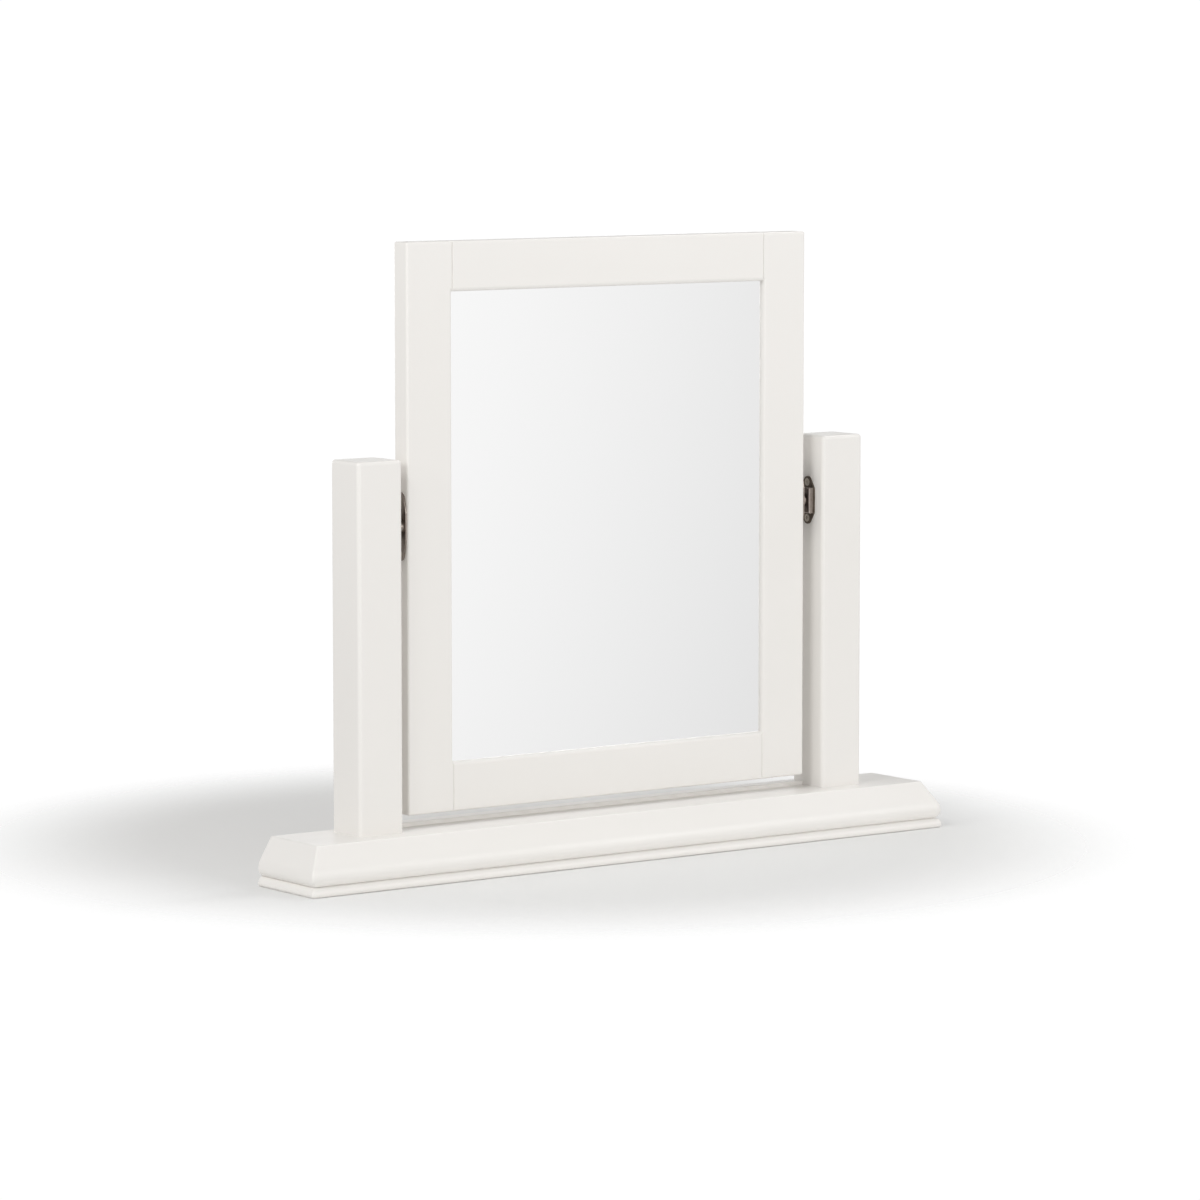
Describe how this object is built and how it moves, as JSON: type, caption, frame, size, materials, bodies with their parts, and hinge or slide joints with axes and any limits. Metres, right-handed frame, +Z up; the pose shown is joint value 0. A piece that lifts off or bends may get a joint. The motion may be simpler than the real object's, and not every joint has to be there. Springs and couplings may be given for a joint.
{
  "type": "dressing table mirror",
  "caption": "Upright rectangular mirror in a white painted wood frame, tilting between square posts on a long moulded base.",
  "frame": {"origin": "middle of the base, on the surface that it stands on", "axes": "+X along the base to the right as seen from the front, +Y to the back, +Z up; the glass faces -Y"},
  "size_m": [0.7, 0.086, 0.555],
  "materials": {
    "painted_wood": "satin off-white paint on fine-grained wood",
    "silvered_glass": "polished float glass, silvered on the back",
    "hardboard": "smooth brown hardboard",
    "bare_wood": "unpainted softwood and beech",
    "dark_bronze": "dark bronzed steel, slightly worn",
    "zinc_plated_steel": "dull zinc-plated steel"
  },
  "bodies": {
    "stand": {"bead_board": "painted_wood", "base_block": "painted_wood", "spacer_rail": "painted_wood", "left_post": "painted_wood", "right_post": "painted_wood", "post_screws": "zinc_plated_steel", "left_post_plate": "dark_bronze", "right_post_plate": "dark_bronze", "left_socket": "dark_bronze", "right_socket": "dark_bronze", "left_pivot_block": "dark_bronze", "right_pivot_block": "dark_bronze", "post_plate_screws": "dark_bronze"},
    "tilting_frame": {"left_stile": "painted_wood", "right_stile": "painted_wood", "top_rail": "painted_wood", "bottom_rail": "painted_wood", "corner_dowels": "bare_wood", "mirror_glass": "silvered_glass", "packing_strips": "bare_wood", "backing_board": "hardboard", "backing_screws": "zinc_plated_steel", "left_pivot_rivet": "zinc_plated_steel", "right_pivot_rivet": "zinc_plated_steel", "left_spring_washer": "zinc_plated_steel", "right_spring_washer": "zinc_plated_steel", "left_frame_plate": "dark_bronze", "right_frame_plate": "dark_bronze", "frame_plate_screws": "dark_bronze"}
  },
  "joints": [
    {"name": "mirror_tilt", "type": "hinge", "parent": "stand", "child": "tilting_frame", "pos_m": [0, 0.012, 0.308], "axis": [1, 0, 0], "continuous": true}
  ]
}
